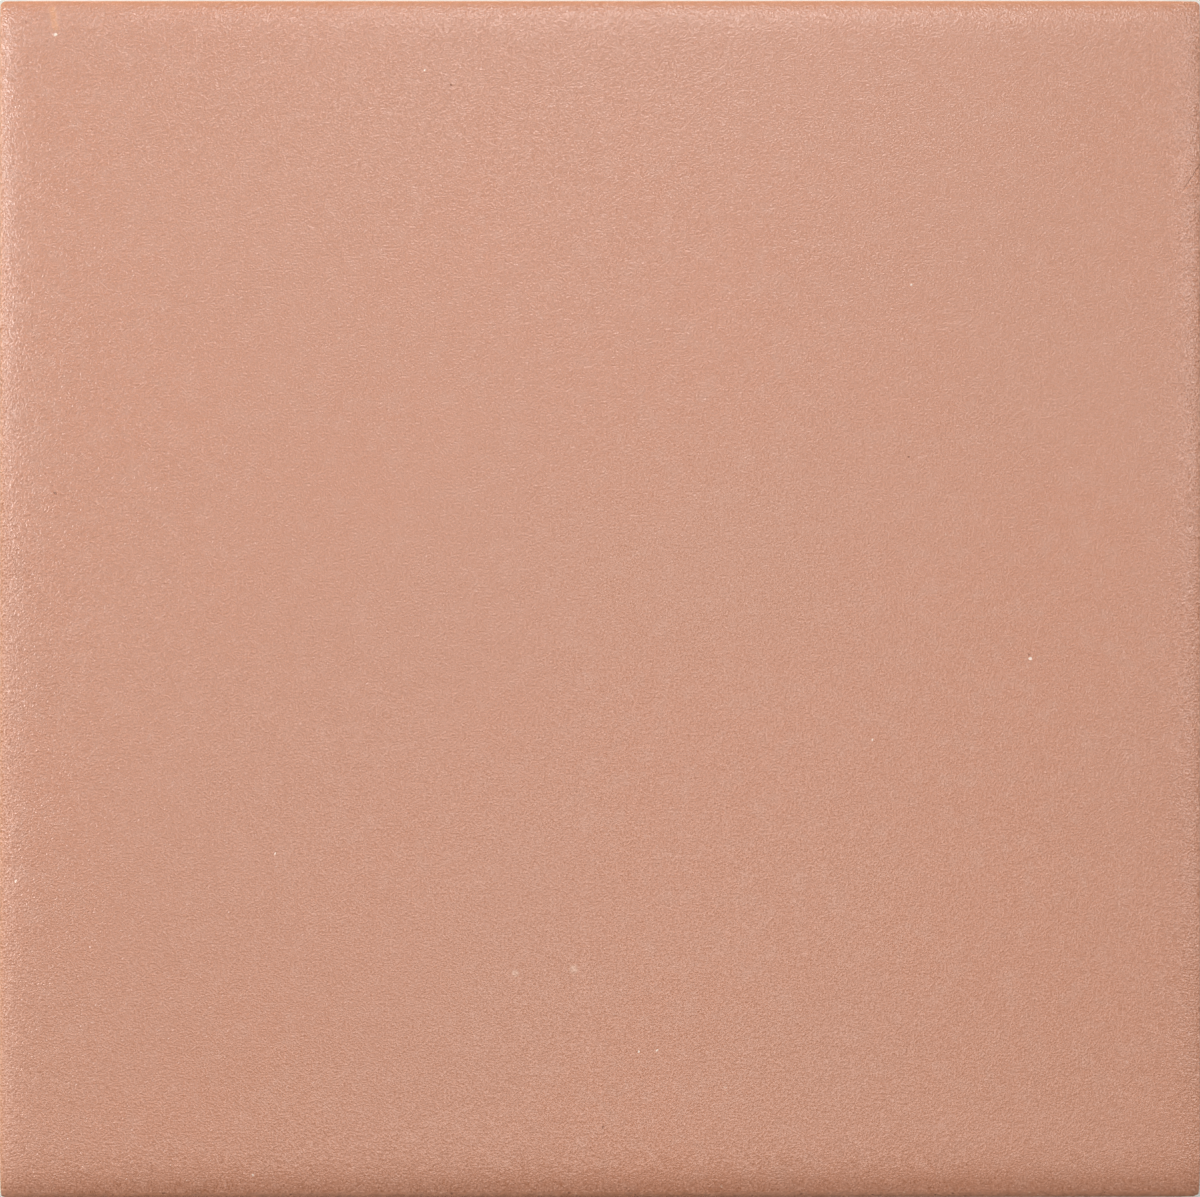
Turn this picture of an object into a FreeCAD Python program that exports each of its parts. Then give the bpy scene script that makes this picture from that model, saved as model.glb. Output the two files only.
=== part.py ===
import FreeCAD, Part
import math
import os
import Sketcher

# An unglazed terracotta floor tile, pressed from one clay and fired in one piece.
# It lies face up. The origin is the middle of its back, and +Z points out of its face.
# Lengths are in millimetres and angles in degrees.

SIZES = {
    "tile_side": (150.0, "length and width at the widest level"),
    "tile_thick": (9.0, "back to face"),
    "corner_round": (1.0, "radius of the upright corners, seen from above"),
    "cushion_reach": (4.0, "how far in from the side the face starts to fall"),
    "cushion_drop": (0.45, "how far the face has fallen where it meets the side"),
    "arris_round": (0.6, "radius of the edge between face and side"),
    "draft_rise": (3.5, "height of the lower part of the side, which leans inwards"),
    "draft_angle": (4.0, "angle of that lower part from upright"),
    "foot_round": (0.4, "radius of the edge between side and back"),
    "key_rim": (7.5, "plain rim round the recesses of the back, at the widest level"),
    "key_rib": (3.0, "rib between two recesses, at the level of the back"),
    "key_count": (6, "recesses along one side of the back"),
    "key_depth": (0.8, "depth of a recess"),
    "key_corner": (2.0, "corner radius of a recess"),
    "key_angle": (30.0, "angle of a recess's walls from upright"),
}

# Sizes that follow from the driving ones.
HALF_SIDE = "(sizes.tile_side / 2)"
CORNER_CENTRE = f"({HALF_SIDE} - sizes.corner_round)"
CUSHION_RADIUS = "((sizes.cushion_reach ^ 2 + sizes.cushion_drop ^ 2) / (2 * sizes.cushion_drop))"
ARRIS_LEVEL = "(sizes.tile_thick - sizes.cushion_drop)"
KEY_RIBS = "((sizes.key_count - 1) * sizes.key_rib)"
KEY_CELL = f"((sizes.tile_side - 2 * sizes.key_rim - {KEY_RIBS}) / sizes.key_count)"
KEY_SPAN = f"(({KEY_CELL} + sizes.key_rib) * (sizes.key_count - 1))"

# A cutting profile reaches this far past the clay that it cuts.
CUT_CLEARANCE = 1.0
# An edge lies on a level if it strays from it by less than this.
LEVEL_TOLERANCE = 1e-4

SIDES = 4
QUARTER_TURN = 90.0
UPWARDS = FreeCAD.Vector(0, 0, 1)

# How a constraint names the ends and centre of a line or an arc, and a sketch's origin.
START, END, CENTRE = range(1, 4)
ORIGIN = (-1, START)


def make_sheet(doc):
    """Write the driving sizes to a spreadsheet, one named row each."""
    sheet = doc.addObject("Spreadsheet::Sheet", "sizes")
    for row, (name, (value, meaning)) in enumerate(SIZES.items(), start=1):
        sheet.set(f"A{row}", name)
        sheet.set(f"B{row}", str(value))
        sheet.set(f"C{row}", meaning)
        sheet.setAlias(f"B{row}", name)
    doc.recompute()


def worth(item, expression):
    """Work out an expression on the sizes."""
    return float(item.evalExpression(expression))


def origin_item(body, role):
    """Find one of the body's own origin planes or axes."""
    return next(item for item in body.Origin.OriginFeatures if item.Role == role)


def add_sketch(body, name, role):
    """Add an empty sketch on one of the body's own origin planes."""
    sketch = body.newObject("Sketcher::SketchObject", name)
    sketch.AttachmentSupport = [(origin_item(body, role), "")]
    sketch.MapMode = "FlatFace"
    return sketch


def shift_sketch(sketch, along, off_plane):
    """Shift a sketch along its own first axis and off its plane."""
    sketch.setExpression("AttachmentOffset.Base.x", along)
    sketch.setExpression("AttachmentOffset.Base.z", off_plane)


def add_rules(sketch, *rules):
    """Add constraints without a size to a sketch."""
    for rule in rules:
        sketch.addConstraint(Sketcher.Constraint(*rule))


def add_size(sketch, name, expression, kind, *where):
    """Add a dimension to a sketch and bind it to an expression on the sizes."""
    value = worth(sketch, expression)
    index = sketch.addConstraint(Sketcher.Constraint(kind, *where, value))
    sketch.renameConstraint(index, name)
    sketch.setExpression(f"Constraints.{name}", expression)


def add_feature(body, kind, name, settings, bindings):
    """Add a feature to the body, set its properties, bind its sizes and build it."""
    feature = body.newObject(f"PartDesign::{kind}", name)
    for setting, value in settings.items():
        setattr(feature, setting, value)
    for size, expression in bindings.items():
        feature.setExpression(size, expression)
    body.Tip = feature
    body.Document.recompute()
    return feature


def repeat_on_sides(body, name, original):
    """Repeat a feature on the four sides, or at the four corners, of the tile."""
    return add_feature(body, "PolarPattern", name, {
        "Originals": [original],
        "Axis": (origin_item(body, "Z_Axis"), [""]),
        "Angle": SIDES * QUARTER_TURN,
        "Occurrences": SIDES,
    }, {})


def round_edges_at(body, name, level, radius):
    """Round every edge of the body so far that lies flat on one level."""
    before = body.Tip
    height = worth(body, level)
    names = []
    for number, edge in enumerate(before.Shape.Edges, start=1):
        lowest, highest = edge.BoundBox.ZMin, edge.BoundBox.ZMax
        if max(abs(lowest - height), abs(highest - height)) < LEVEL_TOLERANCE:
            names.append(f"Edge{number}")
    return add_feature(body, "Fillet", name, {"Base": (before, names)}, {"Radius": radius})


def draw_rounded_square(sketch, side, corner, place):
    """Draw a rounded square with its middle at the same place along both axes.

    Arc 0 is the corner at right and below, and line 0 goes up from it. The rest follow
    anticlockwise.
    """
    radius = worth(sketch, corner)
    reach = worth(sketch, side) / 2 - radius
    centre = FreeCAD.Vector(worth(sketch, place), worth(sketch, place), 0)
    arcs = []
    for turn, (right, up) in enumerate([(1, -1), (1, 1), (-1, 1), (-1, -1)]):
        bend = centre + FreeCAD.Vector(right * reach, up * reach, 0)
        circle = Part.Circle(bend, UPWARDS, radius)
        first = math.radians((turn - 1) * QUARTER_TURN)
        last = math.radians(turn * QUARTER_TURN)
        arcs.append(Part.ArcOfCircle(circle, first, last))
    lines = [Part.LineSegment(arc.EndPoint, following.StartPoint)
             for arc, following in zip(arcs, arcs[1:] + arcs[:1])]
    arcs = sketch.addGeometry(arcs)
    lines = sketch.addGeometry(lines)
    middle = sketch.addGeometry(Part.Point(centre), True)
    for turn in range(SIDES):
        following = arcs[(turn + 1) % SIDES]
        add_rules(sketch,
                  ("Tangent", arcs[turn], END, lines[turn], START),
                  ("Tangent", lines[turn], END, following, START),
                  ("Horizontal" if turn % 2 else "Vertical", lines[turn]))
    for arc in arcs[1:]:
        add_rules(sketch, ("Equal", arcs[0], arc))
    add_rules(sketch,
              ("Equal", lines[0], lines[1]),
              ("Symmetric", arcs[0], CENTRE, arcs[2], CENTRE, middle, START))
    add_size(sketch, "corner", corner, "Radius", arcs[0])
    add_size(sketch, "side", side, "DistanceX", lines[2], START, lines[0], START)
    add_size(sketch, "place_across", place, "DistanceX", *ORIGIN, middle, START)
    add_size(sketch, "place_along", place, "DistanceY", *ORIGIN, middle, START)


def draw_fall(sketch, inner_end, arc_middle, outer_end):
    """Draw the section of the clay that is missing where the face falls towards the side.

    Its lower edge is an arc that is level with the face at arc_middle and meets the side
    at outer_end. Of that arc the section has the stretch from inner_end outwards.
    """
    inner = worth(sketch, inner_end)
    middle = worth(sketch, arc_middle)
    outer = worth(sketch, outer_end)
    radius = worth(sketch, CUSHION_RADIUS)
    face = worth(sketch, "sizes.tile_thick")
    circle = Part.Circle(FreeCAD.Vector(middle, face - radius, 0), UPWARDS, radius)
    first = math.acos((outer - middle) / radius)
    last = math.acos((inner - middle) / radius)
    curve = Part.ArcOfCircle(circle, first, last)
    right = outer + CUT_CLEARANCE
    top = face + CUT_CLEARANCE
    corners = [
        curve.StartPoint,
        FreeCAD.Vector(right, curve.StartPoint.y, 0),
        FreeCAD.Vector(right, top, 0),
        FreeCAD.Vector(inner, top, 0),
        curve.EndPoint,
    ]
    arc = sketch.addGeometry(curve)
    below, beside, above, inside = sketch.addGeometry(
        [Part.LineSegment(*pair) for pair in zip(corners, corners[1:])])
    add_rules(sketch,
              ("Coincident", arc, START, below, START),
              ("Coincident", below, END, beside, START),
              ("Coincident", beside, END, above, START),
              ("Coincident", above, END, inside, START),
              ("Coincident", inside, END, arc, END),
              ("Horizontal", below),
              ("Vertical", beside),
              ("Horizontal", above),
              ("Vertical", inside))
    add_size(sketch, "arc_radius", CUSHION_RADIUS, "Radius", arc)
    add_size(sketch, "arc_middle", arc_middle, "DistanceX", *ORIGIN, arc, CENTRE)
    add_size(sketch, "arris_out", outer_end, "DistanceX", *ORIGIN, arc, START)
    add_size(sketch, "arris_level", ARRIS_LEVEL, "DistanceY", *ORIGIN, arc, START)
    add_size(sketch, "inner_end", inner_end, "DistanceX", *ORIGIN, arc, END)
    add_size(sketch, "clear_beside", f"{CUT_CLEARANCE}", "DistanceX", below, START, below, END)
    add_size(sketch, "clear_above", f"sizes.tile_thick + {CUT_CLEARANCE}",
             "DistanceY", *ORIGIN, beside, END)


def press_block(body):
    """Make the block, with upright sides above its widest level and leaning ones below."""
    outline = add_sketch(body, "outline", "XY_Plane")
    shift_sketch(outline, "0", "sizes.draft_rise")
    draw_rounded_square(outline, "sizes.tile_side", "sizes.corner_round", "0")
    upper = add_feature(body, "Pad", "upper_block", {"Profile": outline}, {
        "Length": "sizes.tile_thick - sizes.draft_rise",
    })
    lower = add_feature(body, "Pad", "lower_block", {"Profile": outline, "Reversed": True}, {
        "Length": "sizes.draft_rise",
        "TaperAngle": "-sizes.draft_angle",
    })
    return [upper, lower]


def press_face(body):
    """Let the face fall towards its four sides, and round its corners with the same section."""
    side_section = add_sketch(body, "side_section", "XZ_Plane")
    fall_start = f"({HALF_SIDE} - sizes.cushion_reach)"
    draw_fall(side_section, fall_start, fall_start, HALF_SIDE)
    side_fall = add_feature(body, "Pocket", "side_fall", {
        "Profile": side_section,
        "Type": "ThroughAll",
        "SideType": "Symmetric",
    }, {})
    four_sides = repeat_on_sides(body, "four_side_falls", side_fall)

    corner_section = add_sketch(body, "corner_section", "XZ_Plane")
    shift_sketch(corner_section, CORNER_CENTRE, CORNER_CENTRE)
    draw_fall(corner_section, "0", "(sizes.corner_round - sizes.cushion_reach)",
              "sizes.corner_round")
    corner_fall = add_feature(body, "Groove", "corner_fall", {
        "Profile": corner_section,
        "ReferenceAxis": (corner_section, ["V_Axis"]),
        "Angle": QUARTER_TURN,
        "Reversed": True,
    }, {})
    four_corners = repeat_on_sides(body, "four_corner_falls", corner_fall)
    return [side_fall, four_sides, corner_fall, four_corners]


def ease_edges(body):
    """Round the edge all round the face, and the smaller one all round the back."""
    arris = round_edges_at(body, "arris", ARRIS_LEVEL, "sizes.arris_round")
    foot = round_edges_at(body, "foot", "0", "sizes.foot_round")
    return [arris, foot]


def press_key(body):
    """Press the grid of shallow recesses into the back, which the bedding mortar grips.

    The walls of each recess lean, so that it is narrower at its floor and leaves the die.
    The ribs and the rim between and round the recesses are what the tile lies on.
    """
    recess_outline = add_sketch(body, "recess_outline", "XY_Plane")
    draw_rounded_square(recess_outline, KEY_CELL, "sizes.key_corner", f"(-{KEY_SPAN} / 2)")
    recess = add_feature(body, "Pocket", "recess", {
        "Profile": recess_outline,
        "Reversed": True,
    }, {
        "Length": "sizes.key_depth",
        "TaperAngle": "-sizes.key_angle",
    })
    back_key = add_feature(body, "LinearPattern", "back_key", {
        "Originals": [recess],
        "Direction": (origin_item(body, "X_Axis"), [""]),
        "Direction2": (origin_item(body, "Y_Axis"), [""]),
    }, {
        "Length": KEY_SPAN,
        "Length2": KEY_SPAN,
        "Occurrences": "sizes.key_count",
        "Occurrences2": "sizes.key_count",
    })
    return [recess, back_key]


def check_steps(added, cut):
    """Stop if a step that adds clay, or one that takes it away, did nothing or broke."""
    steps = added + cut
    for step in steps:
        if step.Shape.isNull() or not step.Shape.isValid():
            raise RuntimeError(f"{step.Name} has no sound shape")
    volumes = [step.Shape.Volume for step in steps]
    for step, before, after in zip(steps[1:], volumes, volumes[1:]):
        grew = after > before
        if after == before or grew != (step in added):
            raise RuntimeError(f"{step.Name} changed {before:.3f} mm3 to {after:.3f}")


def write_part(doc, body):
    """Check the whole document, then write the body to its own STEP file."""
    for item in doc.Objects:
        if "Invalid" in item.State or "Error" in item.State:
            raise RuntimeError(f"{item.Name} failed: {item.State}")
    shape = body.Shape
    if shape.isNull() or not shape.isValid() or len(shape.Solids) != 1:
        raise RuntimeError(f"{body.Label} is not one sound solid")
    os.makedirs("parts", exist_ok=True)
    shape.exportStep(f"parts/{body.Label}.step")
    print(f"{body.Label}: {shape.Volume:.1f} mm3, {len(shape.Faces)} faces")


doc = FreeCAD.newDocument("terracotta_floor_tile")
make_sheet(doc)
floor_tile = doc.addObject("PartDesign::Body", "floor_tile")
floor_tile.Label = "floor_tile"
floor_tile.Placement = FreeCAD.Placement()
block = press_block(floor_tile)
cuts = press_face(floor_tile) + ease_edges(floor_tile) + press_key(floor_tile)
doc.recompute()
check_steps(block, cuts)
write_part(doc, floor_tile)
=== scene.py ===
import math
import bpy
import numpy as np
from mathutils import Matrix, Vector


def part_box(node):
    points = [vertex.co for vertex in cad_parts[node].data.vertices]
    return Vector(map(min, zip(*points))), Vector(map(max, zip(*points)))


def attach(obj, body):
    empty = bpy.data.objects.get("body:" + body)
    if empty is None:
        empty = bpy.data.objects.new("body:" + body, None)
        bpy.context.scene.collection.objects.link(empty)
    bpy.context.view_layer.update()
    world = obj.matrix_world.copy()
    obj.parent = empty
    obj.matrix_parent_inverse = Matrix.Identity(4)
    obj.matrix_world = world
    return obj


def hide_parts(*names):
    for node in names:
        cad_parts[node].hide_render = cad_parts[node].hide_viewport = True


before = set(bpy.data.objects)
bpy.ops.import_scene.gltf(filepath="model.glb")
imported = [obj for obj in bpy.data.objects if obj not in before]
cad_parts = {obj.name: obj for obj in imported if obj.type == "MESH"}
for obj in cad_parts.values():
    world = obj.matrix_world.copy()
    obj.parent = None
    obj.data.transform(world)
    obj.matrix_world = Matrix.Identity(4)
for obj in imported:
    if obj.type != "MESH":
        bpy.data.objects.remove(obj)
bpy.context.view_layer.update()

# A square unglazed terracotta floor tile, lying face up and seen from straight above.
# Shapes are worked out in millimetres and written to the meshes in metres.
MM = 0.001

# The CAD block that the fired tile fills.
block_low, block_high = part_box("floor_tile")
HALF_SIDE = (block_high[0] - block_low[0]) / 2 / MM
THICK = (block_high[2] - block_low[2]) / MM

# The corners in plan, and the arris between face and side, which is blunter along the near side.
CORNER_ROUND = 0.7
ARRIS_ROUND = 0.12
ARRIS_ROUND_NEAR = 0.9

# The side: upright down to this height, then leaning in, then turned under by the foot.
DRAFT_RISE = 3.5
DRAFT_ANGLE = math.radians(4.0)
FOOT_ROUND = 0.4

# Where the rounded foot meets the back, counted inwards from the widest level.
FOOT_INSET = (DRAFT_RISE - FOOT_ROUND) * math.tan(DRAFT_ANGLE) + FOOT_ROUND / math.cos(DRAFT_ANGLE)

# How steeply the face falls at each side, and the distance in which that fall fades by e.
FALL_LEFT = (0.29, 1.15)
FALL_RIGHT = (0.20, 1.5)
FALL_FAR = (0.33, 1.3)
FALL_NEAR = (0.75, 1.5)

# How much steeper the near side's fall gets towards the right.
NEAR_STEEPER = 0.22

# Firing leaves the tile a little out of square: its near side runs in by this much.
NEAR_SIDE_IN_LEFT = 0.05
NEAR_SIDE_IN_RIGHT = 0.22

# How far a surface wanders from true: each pair is the length it wanders over and the height.
FACE_WAVES = ((55.0, 0.022), (19.0, 0.007), (6.5, 0.0016))
BACK_WAVES = ((30.0, 0.020), (4.0, 0.006))
FACE_SEED, BACK_SEED = 3, 11

# The back wanders only in its recesses: from not at all to fully between these shares of
# their depth.
BACK_WAVES_FROM = (0.2, 0.9)

# The key pressed into the back: rows of recesses, the plain rim round them, the ribs between
# them, their depth, the radius of their corners, and the lean and soft edge of their walls.
KEY_COUNT = 6
KEY_RIM = 7.5
KEY_RIB = 3.0
KEY_DEPTH = 0.8
KEY_CORNER = 2.0
KEY_ANGLE = math.radians(30.0)
KEY_SOFT = 0.12

# A wall is this much of a straight lean, and the rest of it is a smooth step.
KEY_STRAIGHT = 0.7

# What the key's sizes give: a recess's side, its step to the next one, and a wall's width.
KEY_SIDE = (2 * HALF_SIDE - 2 * KEY_RIM - (KEY_COUNT - 1) * KEY_RIB) / KEY_COUNT
KEY_STEP = KEY_SIDE + KEY_RIB
KEY_WALL = KEY_DEPTH * math.tan(KEY_ANGLE)

# Grid lines over half of the face: on the arris, and on the fall out to its end.
ARRIS_LINES = 8
FALL_LINES = 20
FALL_END = 6.0

# Grid lines over half of the back: in the outer corner, on the rim from an inset on, then in
# each recess at these distances from its edge, for its corners, and over its middle.
OUTER_LINES = 4
RIM_LINES = 6
RIM_FROM = 1.0
TURN_LINES = (0.85, 1.2, 1.6, 2.1)
RECESS_LINES = 7

# Rings round the side: on its upright, its leaning and its turned-under part.
UPRIGHT_RINGS = 8
LEANING_RINGS = 7
FOOT_RINGS = 7

# Along the near side the press leaves a strip this wide bare and dusty.
BARE_NEAR = 1.1

# How much coarser the grain is where the face rolls off, and how fast that fades by e.
# The left and right sides have one share for their near end, middle and far end.
ROLL_LEFT = (0.2, 0.7, 0.5)
ROLL_RIGHT = (0.3, 0.75, 1.2)
ROLL_FAR = 0.1
ROLL_NEAR = 1.4
ROLL_FADE = 2.2

# How much is added to the roughness where the face rolls off at the left, by the same fading.
MATTE_LEFT = (0.3, 0.2, 0.05)

# How much coarser the grain is at the left, in the middle and at the right of the face.
FACE_COARSER = (0.06, -0.07, -0.2)

# How far in the left and far rims, which face the lamps, are painted brighter and warmer as painted
# light, fading by e.
RIM_LIGHT_FADE = 0.3

# The rubbed bands inside the sides: how far in, their shine along the far side, and that of
# the left and right sides at the near end, middle and far end.
RUBBED_IN = 0.8
SHINE_FAR = 0.5
SHINE_LEFT = (0.1, 0.0, 0.45)
SHINE_RIGHT = (0.1, 0.3, 1.0)

# The clay's colours: its body, and the warmer and paler ones that it drifts to.
PRESSED_BODY = (0.529, 0.240, 0.147, 1)
PRESSED_WARM = (0.537, 0.234, 0.139, 1)
PRESSED_PALE = (0.537, 0.252, 0.160, 1)
RAW_BODY = (0.500, 0.230, 0.143, 1)
RAW_WARM = (0.480, 0.210, 0.123, 1)
RAW_PALE = (0.530, 0.257, 0.168, 1)

# The colours of what is in the clay: grains of pale grit, dusty grit, chalk and rust, the
# painted shade of open pores and of pinholes, and the painted light of the lit rims, which the warm
# smear shares.
GRIT = (0.85, 0.62, 0.48, 1)
DUSTY_GRIT = (0.78, 0.54, 0.40, 1)
CHALK = (0.95, 0.80, 0.68, 1)
RUST = (0.30, 0.09, 0.05, 1)
PORE_SHADE = (0.25, 0.10, 0.06, 1)
PINHOLE_SHADE = (0.20, 0.08, 0.05, 1)
RIM_LIGHT_AND_SMEAR = (0.60, 0.27, 0.137, 1)

# Scattered specks: cells in a metre, share of the cells that have one, largest radius in cell
# widths, how strongly it colours, and its colour.
FACE_SPECKS = (
    (330.0, 0.30, 0.07, 0.35, GRIT),
    (150.0, 0.25, 0.05, 0.50, RUST),
    # Dark specks: the painted shade of open pores.
    (260.0, 0.25, 0.06, 0.35, PORE_SHADE),
)
RAW_SPECKS = (
    (640.0, 0.50, 0.22, 0.40, DUSTY_GRIT),
    (520.0, 0.30, 0.20, 0.50, RUST),
)
# The raw clay's pores are sunk by the bump and painted dark as their shade.
RAW_PORES = (1000.0, 0.50, 0.25, 0.50, PINHOLE_SHADE)

# How far a speck's outline strays from round, and how many times it does so in a metre.
RAGGED = 0.35
RAGGED_SCALE = 3000.0

# Marks that stand out on the face: middle from the tile's middle, and radius.
PALE_GRAINS = (
    (-68.0, 70.7, 0.30), (53.7, -7.3, 0.22), (-73.0, -35.0, 0.22), (7.2, -56.2, 0.20),
    (4.8, -56.4, 0.16), (-43.4, -71.8, 0.22), (-40.6, -31.6, 0.18), (34.0, -17.4, 0.22),
    (-21.9, 66.3, 0.22), (38.9, 39.4, 0.16),
)
PALE_SMUDGES = ((-3.3, -46.1, 0.75), (-10.6, -46.6, 0.60))
PINHOLES = (
    (53.6, -6.8, 0.20), (-18.6, 64.4, 0.20), (-68.0, 13.4, 0.20), (38.6, 17.9, 0.18),
    (0.4, -65.9, 0.20),
)

# How strongly each kind of mark colours the clay.
GRAIN_STRENGTH = 0.90
SMUDGE_STRENGTH = 0.30
PINHOLE_STRENGTH = 0.60

# A smear of warmer clay and a crease: both ends, and radius.
WARM_SMEAR = (-68.4, 73.9, -68.0, 71.6, 0.65)
CREASE = (73.0, 51.3, 74.9, 54.3, 0.20)

# How high the grain of each clay stands as bump, and how deep holes and pores go, as heights
# of that grain.
PRESSED_BUMP = 0.056
RAW_BUMP = 0.08
HOLE_DEPTH = -1.2
PORE_DEPTH = -1.5

# The raw clay's second grain has its heights times this, which draws it out upwards.
DRAWN_OUT = 0.1

# The grey added to a colour before a tone lightens it, so that light grains are paler too: a painted
# whitish sheen on the grain's tops.
PAINTED_SHEEN_GREY = 0.35

# How far the floor reaches to each side, its colour, and the colour of the backdrop that it
# clears to between these distances from the middle, which are in metres.
FLOOR_REACH = 4000.0
FLOOR_COLOUR = (0.70, 0.70, 0.66, 1)
BACKDROP_COLOUR = (0.80, 0.80, 0.77, 1)
BACKDROP_FROM = (0.13, 0.45)

# The room: a dim grey with a pale band near the horizon. The band fades out upwards and
# towards the near side, between these parts of a unit direction.
ROOM_COLOUR = (0.13, 0.13, 0.13, 1)
BAND_COLOUR = (0.88, 0.87, 0.85, 1)
BAND_TOP = (0.30, 0.14)
BAND_NEAR = (-0.6, 0.0)

# The studio's lamps: azimuth from the far side towards the right and height above the floor
# in degrees, then distance, width and height of the lamp in millimetres, and its brightness.
# The low panels rake the grain and, like a net curtain, stay out of the sheen.
LAMPS = (
    ("left window", 277, 55, 1500, 600, 300, 17.3),
    ("far panel", 0, 68, 1500, 600, 300, 6.4),
    ("right panel", 82, 62, 1500, 600, 300, 4.5),
    ("ceiling panel", 0, 88, 1500, 600, 300, 2.65),
    ("near panel", 180, 78, 1500, 600, 300, 2.25),
    ("left low panel", 279, 12, 1200, 508, 368, 5.6),
    ("far low panel", -2, 12, 1200, 1401, 281, 9.8),
)

# Lamps lower than this, in degrees, are left out of reflections.
LOW_RISE = 30

# The photograph is 1200 pixels wide and the tile fills it from side to side. Its far side
# lies a pixel below the upper edge.
PHOTO_WIDE = 1200
PHOTO_HIGH = 1197
TILE_TOP_PX = 1.0

# The lens, and how far below the face the tile is at its widest.
LENS_MM = 100.0
SENSOR_MM = 36.0
WIDEST_BELOW = 0.5

# A noise's lattice: its points from side to side, where on it the tile's middle lies, and
# the factor that brings the noise's spread to about 1.
LATTICE = 64
LATTICE_X, LATTICE_Y = 17.3, 9.7
NOISE_GAIN = 1.4


def smooth_step(low, high, value):
    """0 below low, 1 above high, and between them 3t^2 - 2t^3."""
    part = np.clip((value - low) / (high - low), 0.0, 1.0)
    return part * part * (3.0 - 2.0 * part)


def soft_noise(x, y, length, seed):
    """Random heights on a square lattice, joined by smooth steps, with a spread of about 1."""
    table = np.random.default_rng(seed).normal(size=(LATTICE, LATTICE))
    column, row = x / length + LATTICE_X, y / length + LATTICE_Y
    left, below = np.floor(column).astype(int), np.floor(row).astype(int)
    across = smooth_step(0.0, 1.0, column - left)
    up = smooth_step(0.0, 1.0, row - below)

    def along_row(level):
        first = table[level % LATTICE, left % LATTICE]
        second = table[level % LATTICE, (left + 1) % LATTICE]
        return first * (1 - across) + second * across

    return NOISE_GAIN * (along_row(below) * (1 - up) + along_row(below + 1) * up)


def waves(x, y, layers, seed):
    """The sum of soft noises, each with its own length and height."""
    return sum(height * soft_noise(x, y, length, seed + index)
               for index, (length, height) in enumerate(layers))


def fading(inset, distance):
    """1 at a side, falling by e over each such distance inwards."""
    return np.exp(-inset / distance)


def peaking(inset, distance):
    """The rubbed band t e^(1 - t), where t is the inset over this distance: 1 at its peak."""
    part = inset / distance
    return part * np.exp(1 - part)


def fall_from(inset, fall):
    """Fall of the face near one side: steepness times a fading exponential of the inset."""
    steepness, distance = fall
    return steepness * distance * fading(inset, distance)


def arris_fall(inset, radius):
    """Fall of a quarter circle of this radius, which ends upright at the side."""
    left = np.clip(radius - inset, 0.0, radius)
    return radius - np.sqrt(radius ** 2 - left ** 2)


def mirrored(half):
    """Distances in from one side, up to the middle, become places from side to side."""
    left = np.asarray(half) - HALF_SIDE
    return np.concatenate([left, -left[-2::-1]])


def face_lines(count):
    """Grid lines of one half of the face: close on the arris, wider on the fall, then even."""
    arris = ARRIS_ROUND * (1 - np.sin(np.linspace(math.pi / 2, 0, ARRIS_LINES)))
    fall = np.geomspace(ARRIS_ROUND, FALL_END, FALL_LINES)[1:]
    flat = np.linspace(fall[-1], HALF_SIDE, count - len(arris) - len(fall) + 1)[1:]
    return np.concatenate([arris, fall, flat])


def back_lines():
    """Grid lines of one half of the back: close at each recess's walls and round its corners."""
    wall = (-KEY_SOFT, 0.0, KEY_SOFT, KEY_WALL / 2, KEY_WALL - KEY_SOFT, KEY_WALL, KEY_WALL + KEY_SOFT)
    near = np.array(wall + TURN_LINES)
    middle = np.linspace(TURN_LINES[-1], KEY_SIDE - TURN_LINES[-1], RECESS_LINES)[1:-1]
    outer = FOOT_INSET + (CORNER_ROUND - FOOT_INSET) * np.linspace(0, 1, OUTER_LINES)
    lines = [outer, np.linspace(RIM_FROM, KEY_RIM - KEY_SOFT, RIM_LINES)[1:-1]]
    for index in range(KEY_COUNT // 2):
        start = KEY_RIM + index * KEY_STEP
        lines += [start + near, start + middle, start + KEY_SIDE - near[::-1]]
        lines.append([start + KEY_SIDE + KEY_RIB / 2])
    return np.concatenate(lines)


def from_recess(place):
    """Distance of a place to the middle of the recess that it lies in or nearest to."""
    first = -KEY_STEP * (KEY_COUNT - 1) / 2
    number = np.clip(np.round((place - first) / KEY_STEP), 0, KEY_COUNT - 1)
    return np.abs(place - first - KEY_STEP * number)


def recess_depth(x, y):
    """Depth of the back at a place: every recess is a rounded square with leaning walls.

    The distance to the nearest wall is that of a rounded square. The depth rises with it
    partly in a straight line and partly along a smooth step a little wider than the wall, so
    that both edges of the wall are soft.
    """
    reach = KEY_SIDE / 2 - KEY_CORNER
    over_x, over_y = from_recess(x) - reach, from_recess(y) - reach
    beyond = np.hypot(np.maximum(over_x, 0), np.maximum(over_y, 0))
    within = KEY_CORNER - beyond - np.minimum(np.maximum(over_x, over_y), 0)
    lean = np.clip(within / KEY_WALL, 0.0, 1.0)
    soft = smooth_step(-KEY_SOFT, KEY_WALL + KEY_SOFT, within)
    return KEY_DEPTH * (KEY_STRAIGHT * lean + (1 - KEY_STRAIGHT) * soft)


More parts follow.
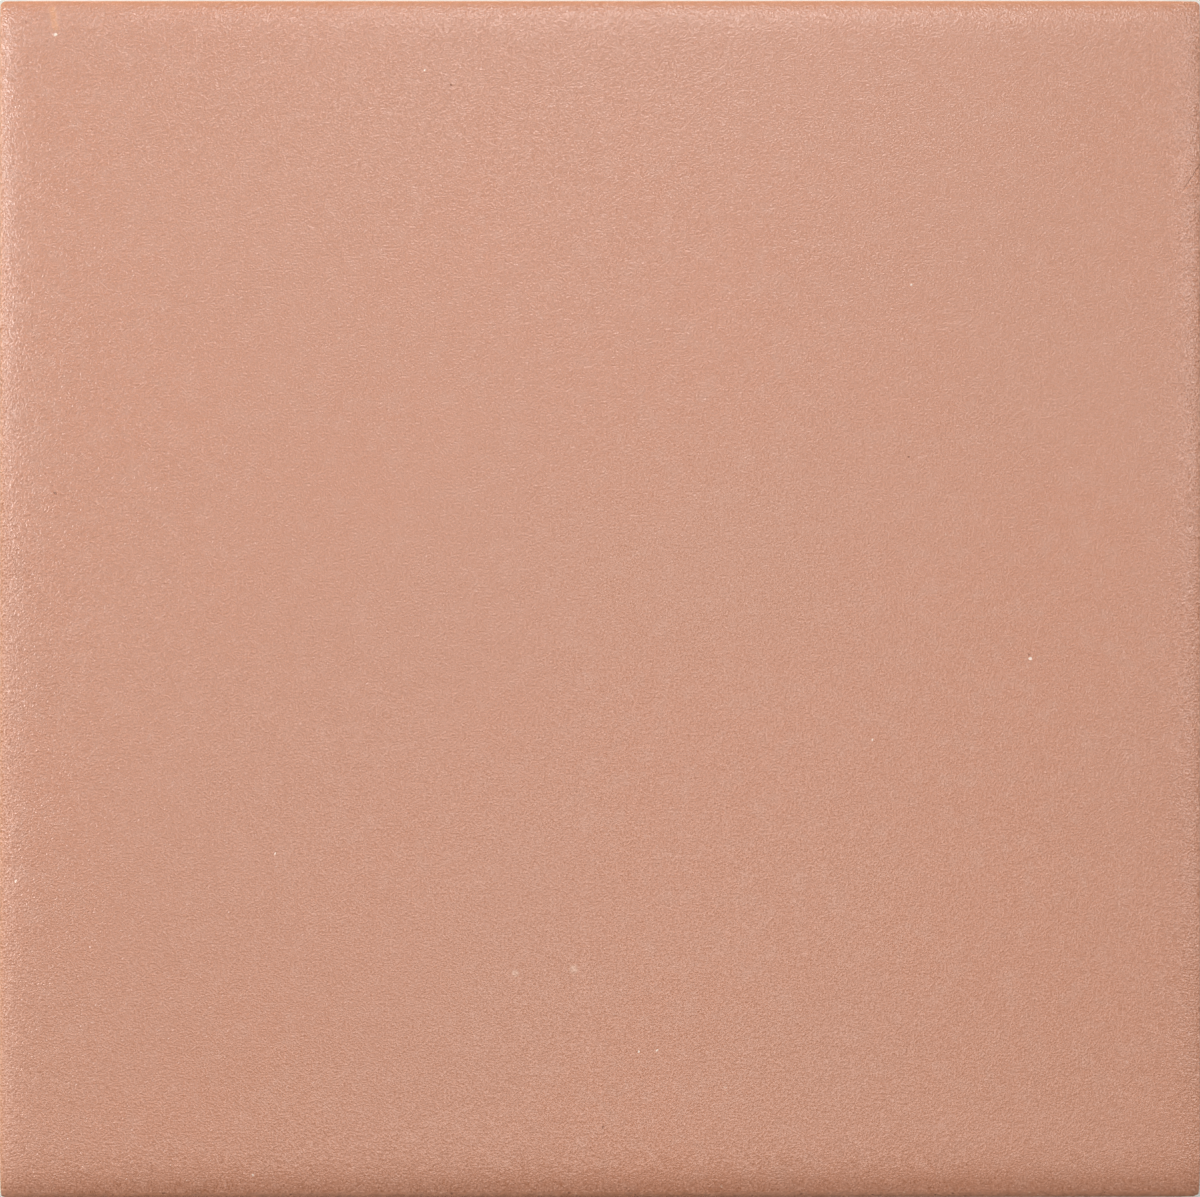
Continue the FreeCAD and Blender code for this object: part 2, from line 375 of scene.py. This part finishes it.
def plan_place(across, along):
    """Round the corners of a square grid.

    across and along are places on the square. Within the corner's radius a point keeps its
    distance from the outline, and its run along the square's side becomes an angle of the arc.
    """
    in_x, in_y = HALF_SIDE - np.abs(across), HALF_SIDE - np.abs(along)
    near, far = np.minimum(in_x, in_y), np.maximum(in_x, in_y)
    radius = np.maximum(CORNER_ROUND - near, 1e-9)
    turn = math.pi / 4 * (1 - np.clip((far - near) / radius, 0.0, 1.0))
    round_near = CORNER_ROUND - radius * np.cos(turn)
    round_far = CORNER_ROUND - radius * np.sin(turn)
    in_corner = far < CORNER_ROUND
    by_x = in_x <= in_y
    new_x = np.where(in_corner, np.where(by_x, round_near, round_far), in_x)
    new_y = np.where(in_corner, np.where(by_x, round_far, round_near), in_y)
    return np.sign(across) * (HALF_SIDE - new_x), np.sign(along) * (HALF_SIDE - new_y)


def out_of_square(x, y):
    """Draw the near side in, more at the right than at the left, and the rest in proportion."""
    share = (HALF_SIDE - y) / (2 * HALF_SIDE)
    across = (x + HALF_SIDE) / (2 * HALF_SIDE)
    return y + share * (NEAR_SIDE_IN_LEFT + across * (NEAR_SIDE_IN_RIGHT - NEAR_SIDE_IN_LEFT))


def face_surface(lines):
    """The face: flat, less each side's fall, less the arris, and with slight waves."""
    across, along = np.meshgrid(lines, lines)
    x, y = plan_place(across, along)
    inset = HALF_SIDE - np.maximum(np.abs(across), np.abs(along))
    arris = np.maximum(arris_fall(inset, ARRIS_ROUND),
                       arris_fall(HALF_SIDE + along, ARRIS_ROUND_NEAR))
    steeper = 1 + NEAR_STEEPER * (x + HALF_SIDE) / (2 * HALF_SIDE)
    falls = (
        fall_from(HALF_SIDE + x, FALL_LEFT)
        + fall_from(HALF_SIDE - x, FALL_RIGHT)
        + fall_from(HALF_SIDE - y, FALL_FAR)
        + fall_from(HALF_SIDE + y, FALL_NEAR) * steeper
    )
    relief = waves(x, y, FACE_WAVES, FACE_SEED)
    relief -= relief.max()
    return x, y, THICK - falls - arris + relief


def back_surface(lines):
    """The back: its rim and ribs lie on one level and its recesses rise above it."""
    across, along = np.meshgrid(lines, lines)
    x, y = plan_place(across, along)
    depth = recess_depth(across, along)
    rough = waves(x, y, BACK_WAVES, BACK_SEED)
    rough = (rough - rough.min()) * smooth_step(*BACK_WAVES_FROM, depth / KEY_DEPTH)
    return x, y, depth + rough


def side_rings(rim_level):
    """Levels of the side below the arris, and how far in each one lies.

    It goes straight down from the rim, then leans in, then turns under through the foot's arc.
    """
    down = np.linspace(0, 1, UPRIGHT_RINGS)[1:, None]
    upright = rim_level + (DRAFT_RISE - rim_level) * down
    lean_end = FOOT_ROUND * (1 - math.sin(DRAFT_ANGLE))
    leaning = np.linspace(DRAFT_RISE, lean_end, LEANING_RINGS)[1:, None]
    turns = np.linspace(DRAFT_ANGLE, math.pi / 2, FOOT_RINGS)[1:-1, None]
    below = np.concatenate([leaning, FOOT_ROUND * (1 - np.sin(turns))])
    level = np.concatenate([upright, np.broadcast_to(below, (len(below), len(rim_level)))])
    inset = np.concatenate([
        np.zeros((len(upright), 1)),
        (DRAFT_RISE - leaning) * math.tan(DRAFT_ANGLE),
        FOOT_INSET - FOOT_ROUND * np.cos(turns),
    ])
    return level, inset


def rim_order(count):
    """Indices of a square grid's outer points, once round."""
    first = np.arange(count - 1)
    last = count - 1
    right = first * count + last
    high = last * count + (last - first)
    left = (last - first) * count
    return np.concatenate([first, right, high, left])


def grid_quads(index, flip):
    """Quads of a grid of point indices, turned over if flip is set."""
    quads = np.stack([index[:-1, :-1], index[:-1, 1:], index[1:, 1:], index[1:, :-1]], axis=-1)
    quads = quads.reshape(-1, 4)
    return quads[:, ::-1] if flip else quads


def along_side(place, shares):
    """A value that goes evenly from one end's to the middle's, and on to the other end's."""
    return np.interp(place, (-HALF_SIDE, 0.0, HALF_SIDE), shares)


def grain_share(x, y):
    """How much coarser the grain is: the face's own share, and each side's, fading by e."""
    inside = 1 - fading(HALF_SIDE - np.abs(x), ROLL_FADE)
    return (
        along_side(x, FACE_COARSER) * inside
        + along_side(y, ROLL_LEFT) * fading(HALF_SIDE + x, ROLL_FADE)
        + along_side(y, ROLL_RIGHT) * fading(HALF_SIDE - x, ROLL_FADE)
        + ROLL_FAR * fading(HALF_SIDE - y, ROLL_FADE)
        + ROLL_NEAR * fading(HALF_SIDE + y, ROLL_FADE)
    )


def rim_light_share(x, y):
    """Painted light along the left and far rims, which face the lamps, fading inwards by e."""
    both = fading(HALF_SIDE + x, RIM_LIGHT_FADE) + fading(HALF_SIDE - y, RIM_LIGHT_FADE)
    return np.minimum(both, 1.0)


def matte_share(x, y):
    """How much rougher the face is where it rolls off at the left, fading by e."""
    return along_side(y, MATTE_LEFT) * fading(HALF_SIDE + x, ROLL_FADE)


def shine_share(x, y):
    """The shine of the rubbed bands inside the left, right and far sides."""
    bands = (
        along_side(y, SHINE_LEFT) * peaking(HALF_SIDE + x, RUBBED_IN)
        + along_side(y, SHINE_RIGHT) * peaking(HALF_SIDE - x, RUBBED_IN)
        + SHINE_FAR * peaking(HALF_SIDE - y, RUBBED_IN)
    )
    return np.minimum(bands, 1.0)


# The attributes that the pressed clay reads, each with the function that gives its values.
SURFACE_SHARES = {
    "coarser_grain": grain_share,
    "painted_rim_light": rim_light_share,
    "matte_roll": matte_share,
    "rubbed_shine": shine_share,
}


def add_mesh(name, places, quads):
    """Put points and quads into a new smooth-shaded object at the origin."""
    mesh = bpy.data.meshes.new(name)
    mesh.vertices.add(len(places))
    mesh.vertices.foreach_set("co", places.astype(np.float32).ravel())
    mesh.loops.add(quads.size)
    mesh.loops.foreach_set("vertex_index", quads.astype(np.int32).ravel())
    mesh.polygons.add(len(quads))
    mesh.polygons.foreach_set("loop_start", np.arange(0, quads.size, 4, dtype=np.int32))
    mesh.polygons.foreach_set("use_smooth", np.ones(len(quads), dtype=bool))
    mesh.update(calc_edges=True)
    mesh.validate()
    piece = bpy.data.objects.new(name, mesh)
    bpy.context.scene.collection.objects.link(piece)
    return piece


def make_tile():
    """The whole tile as one closed surface: face grid, side rings and back grid.

    Its first material is the pressed clay, which the face has but for the bare strip along
    the near side, and its second is the raw clay of all the rest.
    """
    back_half = back_lines()
    face_half = face_lines(len(back_half))
    face_x, face_y, face_z = face_surface(mirrored(face_half))
    back_x, back_y, back_z = back_surface(mirrored(back_half))
    count = face_x.shape[0]
    rim = rim_order(count)

    side_z, inset = side_rings(face_z.ravel()[rim])
    top_x, top_y = face_x.ravel()[rim], face_y.ravel()[rim]
    foot_x, foot_y = back_x.ravel()[rim], back_y.ravel()[rim]
    side_x = top_x + (foot_x - top_x) * inset / FOOT_INSET
    side_y = top_y + (foot_y - top_y) * inset / FOOT_INSET

    places = np.concatenate([
        np.stack([part.ravel() for part in surface], axis=-1)
        for surface in ((face_x, face_y, face_z), (side_x, side_y, side_z), (back_x, back_y, back_z))
    ])
    shares = {name: share(places[:, 0], places[:, 1]) for name, share in SURFACE_SHARES.items()}
    places[:, 1] = out_of_square(places[:, 0], places[:, 1])

    face_index = np.arange(count * count).reshape(count, count)
    side_index = face_index.size + np.arange(side_x.size).reshape(side_x.shape)
    back_index = face_index.size + side_index.size + face_index
    rings = np.concatenate([face_index.ravel()[rim][None], side_index, back_index.ravel()[rim][None]])
    rings = np.concatenate([rings, rings[:, :1]], axis=1)
    face_quads = grid_quads(face_index, False)
    quads = np.concatenate([face_quads, grid_quads(rings, True), grid_quads(back_index, True)])

    piece = add_mesh("fired_tile", places * MM, quads)
    upper = np.arange(len(quads)) < len(face_quads)
    off_strip = places[quads, 1].mean(axis=1) > -HALF_SIDE + BARE_NEAR
    finish = np.where(upper & off_strip, 0, 1)
    piece.data.polygons.foreach_set("material_index", finish.astype(np.int32))
    for name, share in shares.items():
        values = piece.data.attributes.new(name, "FLOAT", "POINT")
        values.data.foreach_set("value", share.astype(np.float32))
    return piece


def put(tree, kind, inputs=None, **settings):
    """Add a node with these settings; each input is set, or linked where it is a socket."""
    node = tree.nodes.new(kind)
    for name, value in settings.items():
        setattr(node, name, value)
    for name, value in (inputs or {}).items():
        if isinstance(value, bpy.types.NodeSocket):
            tree.links.new(value, node.inputs[name])
        else:
            node.inputs[name].default_value = value
    return node


def math_node(tree, operation, first, second=0.0):
    """A sum, product or other rule of two values."""
    return put(tree, "ShaderNodeMath", {0: first, 1: second}, operation=operation).outputs[0]


def vector_node(tree, operation, *inputs):
    """A rule of vectors, whose outputs are called Vector and Value."""
    return put(tree, "ShaderNodeVectorMath", dict(enumerate(inputs)), operation=operation).outputs


def mix_colour(tree, share, first, second):
    """The first colour, giving way to the second as the share goes to 1."""
    return put(tree, "ShaderNodeMix", {0: share, 6: first, 7: second}, data_type="RGBA").outputs[2]


def tinted(tree, colour, mask, strength, tint):
    """A colour that turns to a tint where the mask is 1, at this strength."""
    return mix_colour(tree, math_node(tree, "MULTIPLY", mask, strength), colour, tint)


def scaled(tree, colour, factor):
    """A colour times a factor that varies over the surface."""
    return put(tree, "ShaderNodeVectorMath", {0: colour, "Scale": factor}, operation="SCALE").outputs[0]


def sheened_and_shaded(tree, colour, tone):
    """A colour that gets lighter and paler with the tone: colour plus grey, times it, less grey. It
    paints a pale sheen on the grain's tops and shade in its hollows.
    """
    grey = (PAINTED_SHEEN_GREY, PAINTED_SHEEN_GREY, PAINTED_SHEEN_GREY)
    lifted = vector_node(tree, "ADD", colour, grey)["Vector"]
    return vector_node(tree, "SUBTRACT", scaled(tree, lifted, tone), grey)["Vector"]


def fade(tree, value, low, high, start=0.0, stop=1.0):
    """A value's rise from low to high, along a smooth step, turned into start to stop."""
    inputs = {"Value": value, "From Min": low, "From Max": high, "To Min": start, "To Max": stop}
    return put(tree, "ShaderNodeMapRange", inputs, interpolation_type="SMOOTHSTEP").outputs[0]


def object_place(tree):
    """The place on the object, in metres."""
    return tree.nodes.new("ShaderNodeTexCoord").outputs["Object"]


def own_share(tree, name):
    """One of the mesh's own attributes."""
    return put(tree, "ShaderNodeAttribute", attribute_name=name).outputs["Fac"]


def effect(tree, group, place, **inputs):
    """Place a node group; an underscore in an input's name stands for a space."""
    named = {name.replace("_", " "): value for name, value in inputs.items()}
    return put(tree, "ShaderNodeGroup", {"Place": place, **named}, node_tree=group).outputs


def new_effect(name, inputs, outputs):
    """Start a shader node group that reads a place.

    inputs are its other inputs as (name, socket kind, value), and outputs are (name, kind).
    """
    group = bpy.data.node_groups.new(name, "ShaderNodeTree")
    group.interface.new_socket("Place", in_out="INPUT", socket_type="NodeSocketVector")
    for label, kind, value in inputs:
        socket = group.interface.new_socket(label, in_out="INPUT", socket_type="NodeSocket" + kind)
        if value is not None:
            socket.default_value = value
    for label, kind in outputs:
        group.interface.new_socket(label, in_out="OUTPUT", socket_type="NodeSocket" + kind)
    given = group.nodes.new("NodeGroupInput").outputs
    result = group.nodes.new("NodeGroupOutput").inputs
    return group, given, result


def make_clouding():
    """Clay's uneven firing: a colour that drifts to a warmer and a paler one in soft clouds."""
    group, given, result = new_effect(
        "clay clouding",
        [("Clay", "Color", PRESSED_BODY), ("Warm", "Color", PRESSED_WARM),
         ("Pale", "Color", PRESSED_PALE), ("Cloud Scale", "Float", 40.0),
         ("Mottle Scale", "Float", 400.0)],
        [("Colour", "Color")])
    cloud = put(group, "ShaderNodeTexNoise",
                {"Vector": given["Place"], "Scale": given["Cloud Scale"], "Detail": 3.0,
                 "Roughness": 0.55}).outputs[0]
    mottle = put(group, "ShaderNodeTexNoise",
                 {"Vector": given["Place"], "Scale": given["Mottle Scale"], "Detail": 2.0,
                  "Roughness": 0.6}).outputs[0]
    warmed = mix_colour(group, fade(group, cloud, 0.35, 0.7), given["Clay"], given["Warm"])
    paled = mix_colour(group, fade(group, mottle, 0.45, 0.75), warmed, given["Pale"])
    group.links.new(paled, result["Colour"])
    return group


def make_grain():
    """Pressed grain: a soft noise as a height, and the same noise as a lighter or darker tone.

    The tone is 1 on average, more on the tops of the grain and less in its hollows, and the
    roughness goes the other way. The tone is partly the clay's own grain and partly painted
    light: lighter on the tops, with painted shade in the hollows.
    """
    group, given, result = new_effect(
        "pressed grain",
        [("Grain Scale", "Float", 2500.0), ("Tone Share", "Float", 0.3), ("Coarser", "Float", 0.0),
         ("Rough Hollow", "Float", 0.5), ("Rough Top", "Float", 0.3)],
        [("Height", "Float"), ("Tone", "Float"), ("Roughness", "Float")])
    noise = put(group, "ShaderNodeTexNoise",
                {"Vector": given["Place"], "Scale": given["Grain Scale"], "Detail": 1.0,
                 "Roughness": 0.5}).outputs[0]
    above = math_node(group, "SUBTRACT", noise, 0.5)
    height = math_node(group, "MULTIPLY", above, math_node(group, "ADD", given["Coarser"], 1.0))
    tone = math_node(group, "MULTIPLY", height, given["Tone Share"])
    roughness = fade(group, noise, 0.3, 0.7, given["Rough Hollow"], given["Rough Top"])
    group.links.new(height, result["Height"])
    group.links.new(math_node(group, "ADD", tone, 1.0), result["Tone"])
    group.links.new(roughness, result["Roughness"])
    return group


def make_specks():
    """Loose grains: a round spot in some cells of a scattered pattern.

    A cell has a spot where its random number is under the share, and the spot is 1 at its
    middle and fades to 0 at the radius, counted in cell widths. Each spot has its own radius,
    up to the one given.
    """
    group, given, result = new_effect(
        "scattered specks",
        [("Cell Scale", "Float", 400.0), ("Share", "Float", 0.2), ("Radius", "Float", 0.1)],
        [("Mask", "Float")])
    cells = put(group, "ShaderNodeTexVoronoi",
                {"Vector": given["Place"], "Scale": given["Cell Scale"]}).outputs
    chance = put(group, "ShaderNodeSeparateColor", {"Color": cells["Color"]}).outputs
    chosen = math_node(group, "LESS_THAN", chance[0], given["Share"])
    radius = math_node(group, "MULTIPLY", chance[1], given["Radius"])
    reach = math_node(group, "DIVIDE", cells["Distance"], math_node(group, "MAXIMUM", radius, 1e-4))
    spot = fade(group, reach, 1.0, 0.4)
    group.links.new(math_node(group, "MULTIPLY", spot, chosen), result["Mask"])
    return group


def make_mark():
    """One grain or pit at a known place: 1 at its middle, fading to 0 at its radius."""
    group, given, result = new_effect(
        "single mark", [("Middle", "Vector", None), ("Radius", "Float", 0.0003)], [("Mask", "Float")])
    apart = vector_node(group, "DISTANCE", given["Place"], given["Middle"])["Value"]
    reach = math_node(group, "DIVIDE", apart, given["Radius"])
    group.links.new(fade(group, reach, 1.0, 0.35), result["Mask"])
    return group


def make_streak():
    """One scratch or smear between two places: 1 on its line, fading to 0 at its radius.

    The line's nearest point is start + t (end - start), where t is the place's share of the
    way from start to end, held between 0 and 1.
    """
    group, given, result = new_effect(
        "single streak",
        [("Start", "Vector", None), ("End", "Vector", None), ("Radius", "Float", 0.0003)],
        [("Mask", "Float")])
    way = vector_node(group, "SUBTRACT", given["End"], given["Start"])["Vector"]
    off = vector_node(group, "SUBTRACT", given["Place"], given["Start"])["Vector"]
    along = vector_node(group, "DOT_PRODUCT", off, way)["Value"]
    whole = vector_node(group, "DOT_PRODUCT", way, way)["Value"]
    share = put(group, "ShaderNodeMath", {0: along, 1: whole}, operation="DIVIDE", use_clamp=True)
    nearest = vector_node(group, "MULTIPLY_ADD", way, share.outputs[0], given["Start"])["Vector"]
    apart = vector_node(group, "DISTANCE", given["Place"], nearest)["Value"]
    reach = math_node(group, "DIVIDE", apart, given["Radius"])
    group.links.new(fade(group, reach, 1.0, 0.2), result["Mask"])
    return group


CLOUDING = make_clouding()
GRAIN = make_grain()
SPECKS = make_specks()
MARK = make_mark()
STREAK = make_streak()


def on_face(across, along):
    """The plan in the scene of a point of the face given in millimetres."""
    return across * MM, out_of_square(across, along) * MM, 0.0


def marks(tree, place, spots):
    """The mask of several marks together."""
    mask = None
    for across, along, radius in spots:
        one = effect(tree, MARK, place, Middle=on_face(across, along), Radius=radius * MM)[0]
        mask = one if mask is None else math_node(tree, "MAXIMUM", mask, one)
    return mask


def streak(tree, place, line):
    """The mask of one streak."""
    start, end = on_face(*line[:2]), on_face(*line[2:4])
    return effect(tree, STREAK, place, Start=start, End=end, Radius=line[4] * MM)[0]


def speckled(tree, place, colour, specks):
    """A colour with scattered specks in it, and the specks' mask."""
    cells, share, radius, strength, tint = specks
    mask = effect(tree, SPECKS, place, Cell_Scale=cells, Share=share, Radius=radius)[0]
    return tinted(tree, colour, mask, strength, tint), mask


def frayed_plan(tree, place, plan):
    """The plan, shifted a little this way and that by a fine noise, so that marks are ragged."""
    noise = put(tree, "ShaderNodeTexNoise", {"Vector": place, "Scale": RAGGED_SCALE, "Detail": 0.0})
    bend = vector_node(tree, "ADD", noise.outputs["Color"], (-0.5, -0.5, -0.5))["Vector"]
    return vector_node(tree, "MULTIPLY_ADD", bend, (RAGGED * MM, RAGGED * MM, 0), plan)["Vector"]


def bumped(tree, height, distance):
    """The normal of a surface with this height on it, where a height of 1 is that distance."""
    inputs = {"Strength": 1.0, "Distance": distance * MM, "Height": height}
    return put(tree, "ShaderNodeBump", inputs).outputs[0]


def new_material(name):
    """An empty material with its shader and output."""
    material = bpy.data.materials.new(name)
    material.use_nodes = True
    tree = material.node_tree
    tree.nodes.clear()
    shader = tree.nodes.new("ShaderNodeBsdfPrincipled")
    output = tree.nodes.new("ShaderNodeOutputMaterial")
    tree.links.new(shader.outputs[0], output.inputs[0])
    return material, tree, shader


def make_pressed_clay():
    """The fired face: even clay, satin from the press, with fine pebbled grain and specks."""
    material, tree, shader = new_material("pressed clay")
    place = object_place(tree)
    plan = vector_node(tree, "MULTIPLY", place, (1, 1, 0))["Vector"]
    frayed = frayed_plan(tree, place, plan)
    grain = effect(tree, GRAIN, place, Grain_Scale=4000.0, Tone_Share=0.42,
                   Coarser=own_share(tree, "coarser_grain"), Rough_Hollow=0.34, Rough_Top=0.15)
    grains = marks(tree, frayed, PALE_GRAINS)
    smudges = marks(tree, frayed, PALE_SMUDGES)
    holes = marks(tree, frayed, PINHOLES)
    smear = streak(tree, plan, WARM_SMEAR)
    crease = streak(tree, frayed, CREASE)

    colour = effect(tree, CLOUDING, place, Clay=PRESSED_BODY, Warm=PRESSED_WARM, Pale=PRESSED_PALE,
                    Cloud_Scale=28.0, Mottle_Scale=420.0)[0]
    # The left and far rims are painted brighter and warmer where the lamps light them, as painted
    # light; the smear is a warm mark in the clay that takes the same colour.
    lit_rim_and_smear = math_node(tree, "MAXIMUM", own_share(tree, "painted_rim_light"), smear)
    colour = mix_colour(tree, lit_rim_and_smear, colour, RIM_LIGHT_AND_SMEAR)
    for specks in FACE_SPECKS:
        colour = speckled(tree, frayed, colour, specks)[0]
    colour = tinted(tree, colour, smudges, SMUDGE_STRENGTH, GRIT)
    colour = tinted(tree, colour, grains, GRAIN_STRENGTH, CHALK)
    # The pinholes are sunk by the bump and painted dark as their shade.
    colour = tinted(tree, colour, holes, PINHOLE_STRENGTH, PINHOLE_SHADE)
    # The grain's tone paints a pale sheen on its tops and shade in its hollows, on top of the clay's
    # own colour.
    colour = sheened_and_shaded(tree, colour, grain["Tone"])
    tree.links.new(colour, shader.inputs["Base Color"])

    sunk = math_node(tree, "MULTIPLY", math_node(tree, "MAXIMUM", holes, crease), HOLE_DEPTH)
    height = math_node(tree, "ADD", grain["Height"], sunk)
    raised = bumped(tree, height, PRESSED_BUMP)
    roughness = math_node(tree, "ADD", grain["Roughness"], own_share(tree, "matte_roll"))
    tree.links.new(raised, shader.inputs["Normal"])
    tree.links.new(roughness, shader.inputs["Roughness"])
    shader.inputs["IOR"].default_value = 1.65

    tree.links.new(own_share(tree, "rubbed_shine"), shader.inputs["Coat Weight"])
    tree.links.new(raised, shader.inputs["Coat Normal"])
    shader.inputs["Coat Roughness"].default_value = 0.15
    shader.inputs["Coat IOR"].default_value = 1.5
    return material


def make_raw_clay():
    """The unpressed sides and back: the same clay, dry and dusty, with a coarser tooth.

    Leaving the press draws fine upright lines down the sides, so a second grain is stretched
    in z.
    """
    material, tree, shader = new_material("raw clay")
    place = object_place(tree)
    drawn = vector_node(tree, "MULTIPLY", place, (1, 1, DRAWN_OUT))["Vector"]
    grain = effect(tree, GRAIN, place, Grain_Scale=1500.0, Tone_Share=0.4, Rough_Hollow=0.9,
                   Rough_Top=0.7)
    lines = effect(tree, GRAIN, drawn, Grain_Scale=2200.0, Tone_Share=0.35)

    colour = effect(tree, CLOUDING, place, Clay=RAW_BODY, Warm=RAW_WARM, Pale=RAW_PALE,
                    Cloud_Scale=45.0, Mottle_Scale=1100.0)[0]
    for specks in RAW_SPECKS:
        colour = speckled(tree, place, colour, specks)[0]
    # The pores are painted dark as their shade, and sunk below.
    colour, pores = speckled(tree, place, colour, RAW_PORES)
    # The grains' tones make the clay lighter on their tops and darker in their hollows, partly as
    # painted shade.
    colour = scaled(tree, scaled(tree, colour, grain["Tone"]), lines["Tone"])
    tree.links.new(colour, shader.inputs["Base Color"])

    uneven = math_node(tree, "ADD", grain["Height"], lines["Height"])
    height = math_node(tree, "ADD", uneven, math_node(tree, "MULTIPLY", pores, PORE_DEPTH))
    tree.links.new(bumped(tree, height, RAW_BUMP), shader.inputs["Normal"])
    tree.links.new(grain["Roughness"], shader.inputs["Roughness"])
    shader.inputs["Specular IOR Level"].default_value = 0.1
    return material


def make_pale_floor():
    """A matte floor that keeps the shadow and, for the camera, clears to the backdrop."""
    material, tree, shader = new_material("pale floor")
    shader.inputs["Base Color"].default_value = FLOOR_COLOUR
    shader.inputs["Roughness"].default_value = 0.9
    shader.inputs["Specular IOR Level"].default_value = 0.0
    away = vector_node(tree, "LENGTH", object_place(tree))["Value"]
    seen = tree.nodes.new("ShaderNodeLightPath").outputs["Is Camera Ray"]
    share = math_node(tree, "MULTIPLY", fade(tree, away, *BACKDROP_FROM), seen)
    clear = tree.nodes.new("ShaderNodeBsdfTransparent").outputs[0]
    both = put(tree, "ShaderNodeMixShader", {0: share, 1: shader.outputs[0], 2: clear})
    tree.links.new(both.outputs[0], tree.nodes["Material Output"].inputs[0])
    return material


def add_floor():
    """A pale floor, wide enough to fill a low view."""
    reach = FLOOR_REACH
    corners = np.array([[-reach, -reach, 0], [reach, -reach, 0], [reach, reach, 0], [-reach, reach, 0]])
    floor = add_mesh("studio_floor", corners * MM, np.array([[0, 1, 2, 3]]))
    floor.data.materials.append(make_pale_floor())


def soft_lamp(name, azimuth, rise, distance, wide, high, brightness):
    """A flat soft lamp that faces the tile; its power is pi times its area times brightness."""
    lamp = bpy.data.lights.new(name, "AREA")
    lamp.shape = "RECTANGLE"
    lamp.size, lamp.size_y = wide * MM, high * MM
    lamp.energy = math.pi * lamp.size * lamp.size_y * brightness
    turn, lift = math.radians(azimuth), math.radians(rise)
    toward = (math.sin(turn) * math.cos(lift), math.cos(turn) * math.cos(lift), math.sin(lift))
    holder = bpy.data.objects.new(name, lamp)
    holder.location = [part * distance * MM for part in toward]
    holder.rotation_euler = (lift - math.pi / 2, 0.0, -turn)
    holder.visible_glossy = rise > LOW_RISE
    bpy.context.scene.collection.objects.link(holder)


def studio_world():
    """A dim room with a pale band above the horizon, all round but for the near side.

    The camera sees the plain backdrop instead.
    """
    world = bpy.data.worlds.new("studio")
    world.use_nodes = True
    tree = world.node_tree
    tree.nodes.clear()
    way = tree.nodes.new("ShaderNodeTexCoord").outputs["Generated"]
    part = put(tree, "ShaderNodeSeparateXYZ", {"Vector": way}).outputs
    low = fade(tree, part["Z"], *BAND_TOP)
    band = math_node(tree, "MULTIPLY", low, fade(tree, part["Y"], *BAND_NEAR))
    room = mix_colour(tree, band, ROOM_COLOUR, BAND_COLOUR)
    seen = tree.nodes.new("ShaderNodeLightPath").outputs["Is Camera Ray"]
    colour = mix_colour(tree, seen, room, BACKDROP_COLOUR)
    light = put(tree, "ShaderNodeBackground", {"Color": colour, "Strength": 1.0})
    output = tree.nodes.new("ShaderNodeOutputWorld")
    tree.links.new(light.outputs[0], output.inputs[0])
    bpy.context.scene.world = world


def add_camera():
    """A camera straight above, far enough for the tile's widest level to fill the width.

    The tile's far side lies a pixel below the photograph's upper edge, which moves the
    camera a little towards that side.
    """
    pixel = 2 * HALF_SIDE / PHOTO_WIDE
    camera = bpy.data.cameras.new("camera")
    camera.lens = LENS_MM
    camera.sensor_width = SENSOR_MM
    camera.sensor_fit = "HORIZONTAL"
    camera.clip_start = 0.01
    camera.clip_end = 50.0
    away = 2 * HALF_SIDE * LENS_MM / SENSOR_MM
    along = HALF_SIDE + (TILE_TOP_PX - PHOTO_HIGH / 2) * pixel
    holder = bpy.data.objects.new("camera", camera)
    holder.location = (0.0, along * MM, (THICK - WIDEST_BELOW + away) * MM)
    bpy.context.scene.collection.objects.link(holder)
    bpy.context.scene.camera = holder


tile = make_tile()
tile.data.materials.append(make_pressed_clay())
tile.data.materials.append(make_raw_clay())
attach(tile, "root")
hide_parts("floor_tile")

add_floor()
studio_world()
for lamp in LAMPS:
    soft_lamp(*lamp)
add_camera()
bpy.context.scene.view_settings.view_transform = "Standard"
